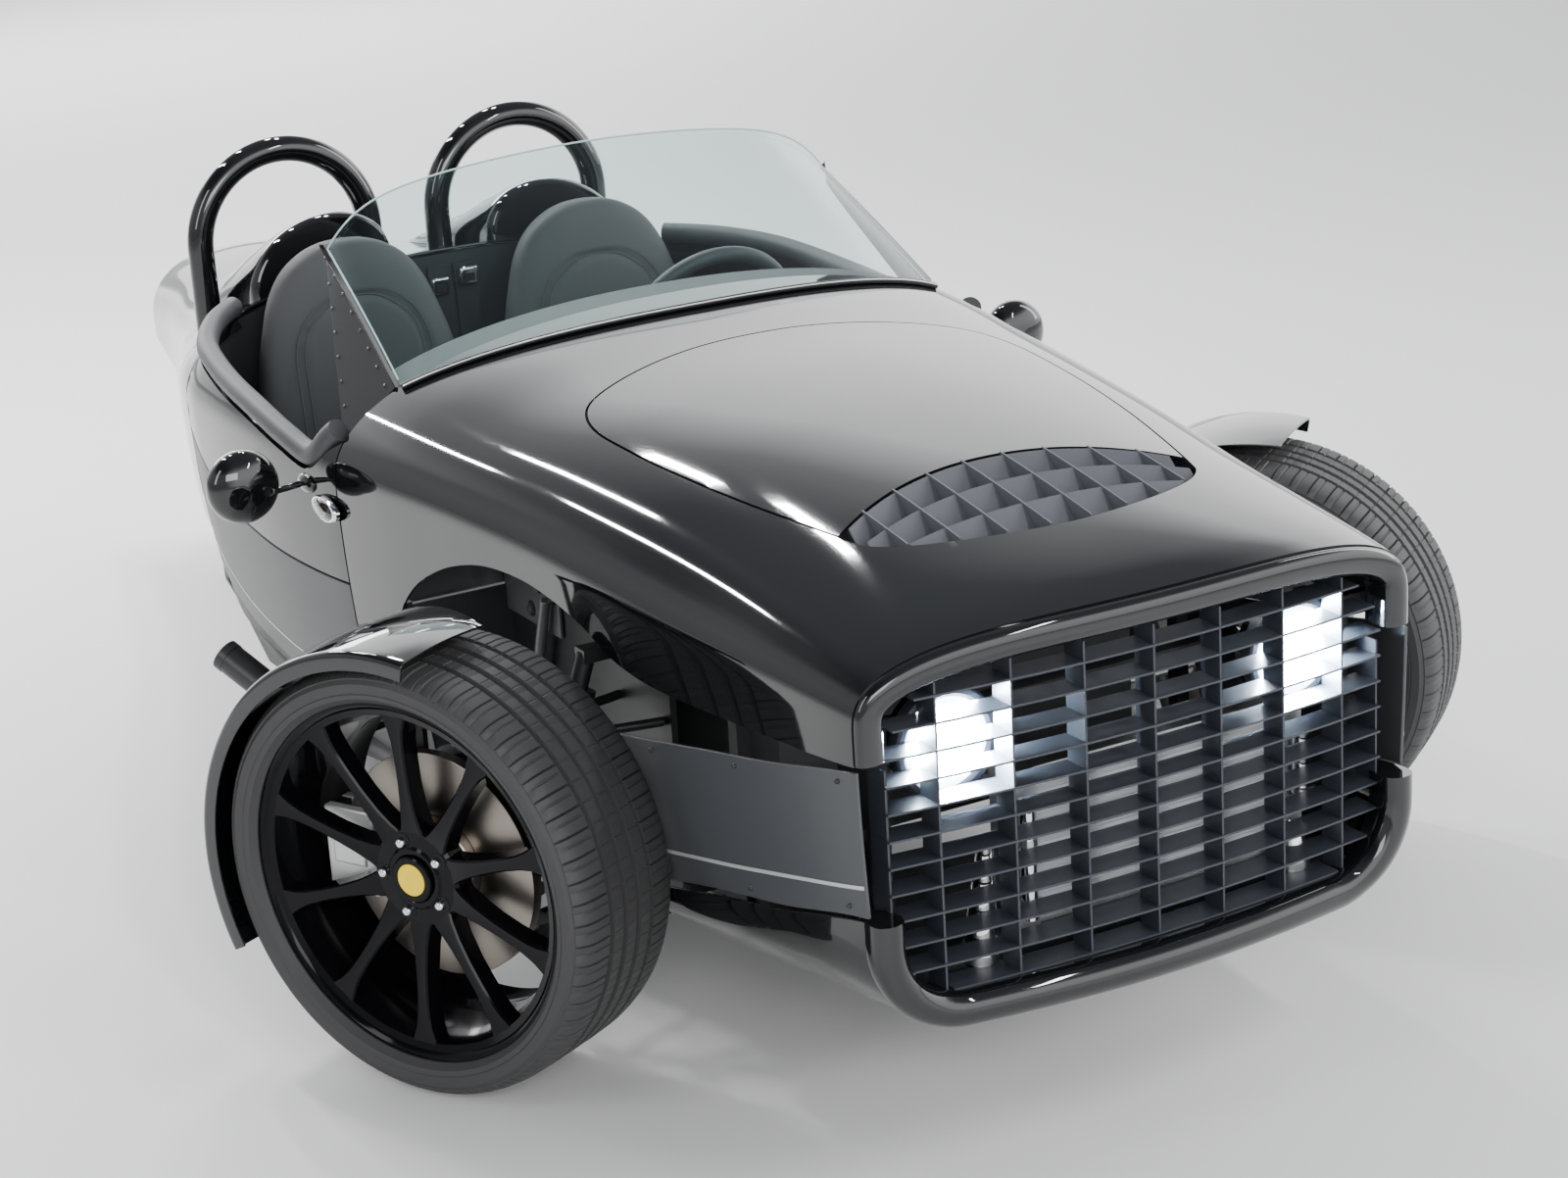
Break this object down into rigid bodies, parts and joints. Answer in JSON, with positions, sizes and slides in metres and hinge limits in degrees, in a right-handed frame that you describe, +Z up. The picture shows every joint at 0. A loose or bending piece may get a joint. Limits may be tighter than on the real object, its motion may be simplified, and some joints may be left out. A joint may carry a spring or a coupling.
{
  "type": "three wheeled car",
  "caption": "Open two seat sports car with a wide slatted nose, low curved windscreen, steered front wheels under slim fenders, twin roll hoops and a tapering tail over one wide rear wheel.",
  "frame": {"origin": "on the ground under the middle of the overall box", "axes": "+X to the car's left, +Y towards the tail, +Z up; the nose faces -Y"},
  "size_m": [1.9756, 3.474, 1.121],
  "materials": {
    "gloss_black": "deep gloss black paint",
    "satin_grey": "satin dark grey paint",
    "frame_black": "semi matt black powder coat",
    "plastic_grey": "moulded mid grey plastic",
    "plastic_dark": "grained dark plastic",
    "trim_vinyl": "soft dark vinyl",
    "seat_vinyl": "stitched dark grey vinyl",
    "lamp_clear": "clear lens, lit",
    "lamp_red": "red lens",
    "lamp_smoke": "smoked lens",
    "aluminium": "brazed fins and tanks",
    "cast": "bare casting",
    "tinted_glass": "lightly tinted",
    "bare_steel": "machined steel",
    "exhaust_steel": "black coated steel",
    "wheel_black": "gloss black enamel",
    "tyre": "matt rubber"
  },
  "bodies": {
    "chassis": {"floor_tub": "plastic_dark", "front_frame": "frame_black", "nose_shell": "gloss_black", "main_grille": "plastic_dark", "chin": "gloss_black", "side_panels": "satin_grey", "body_side_left": "gloss_black", "body_side_right": "gloss_black", "sills": "satin_grey", "tail_shell": "gloss_black", "seat_fairings": "gloss_black", "cockpit_rim": "trim_vinyl", "bulkhead": "plastic_dark", "headlamps": "lamp_clear", "radiator": "aluminium", "engine_block": "cast", "windscreen": "tinted_glass", "screen_posts": "plastic_dark", "seat_left": "seat_vinyl", "seat_right": "seat_vinyl", "roll_hoops": "gloss_black", "mirrors": "gloss_black", "marker_lamps": "lamp_smoke", "exhaust": "exhaust_steel", "dashboard": "plastic_dark", "steering_column": "frame_black", "suspension": "frame_black", "drive_shafts": "bare_steel", "rear_frame": "frame_black", "tail_lamps": "lamp_red"},
    "hood": {"hood_panel": "gloss_black", "hood_vent": "plastic_grey"},
    "steering_wheel": {"steering_wheel": "trim_vinyl"},
    "knuckle_left": {"knuckle_left": "frame_black", "fender_left": "gloss_black"},
    "knuckle_right": {"knuckle_right": "frame_black", "fender_right": "gloss_black"},
    "wheel_left": {"rim_left": "wheel_black", "tyre_left": "tyre", "disc_left": "bare_steel"},
    "wheel_right": {"rim_right": "wheel_black", "tyre_right": "tyre", "disc_right": "bare_steel"},
    "wheel_rear": {"rear_rim": "wheel_black", "rear_tyre": "tyre"}
  },
  "joints": [
    {"name": "steering_wheel_turn", "type": "hinge", "parent": "chassis", "child": "steering_wheel", "pos_m": [0.248, -0.053, 0.742], "axis": [0, -0.9135, -0.4067], "range_deg": [0, 630]},
    {"name": "steer_left", "type": "hinge", "parent": "chassis", "child": "knuckle_left", "pos_m": [0.695, -1.001, 0.32], "axis": [0, 0, 1], "range_deg": [-63, 0]},
    {"name": "steer_right", "type": "hinge", "parent": "chassis", "child": "knuckle_right", "pos_m": [-0.695, -1.001, 0.32], "axis": [0, 0, 1], "range_deg": [-63, 0]},
    {"name": "wheel_left_spin", "type": "hinge", "parent": "knuckle_left", "child": "wheel_left", "pos_m": [0.71927, -0.98337, 0.32], "axis": [0.809, 0.5878, 0], "continuous": true},
    {"name": "wheel_right_spin", "type": "hinge", "parent": "knuckle_right", "child": "wheel_right", "pos_m": [-0.72173, -1.01462, 0.32], "axis": [0.891, 0.454, 0], "continuous": true},
    {"name": "wheel_rear_spin", "type": "hinge", "parent": "chassis", "child": "wheel_rear", "pos_m": [0, 1.399, 0.3285], "axis": [1, 0, 0], "continuous": true},
    {"name": "hood_hinge", "type": "hinge", "parent": "chassis", "child": "hood", "pos_m": [0, -0.601, 0.868], "axis": [-1, 0, 0], "range_deg": [0, 60]}
  ],
  "couplings": [
    {"joint": "steer_left", "follows": "steering_wheel_turn", "ratio": -0.1},
    {"joint": "steer_right", "follows": "steering_wheel_turn", "ratio": -0.1}
  ]
}
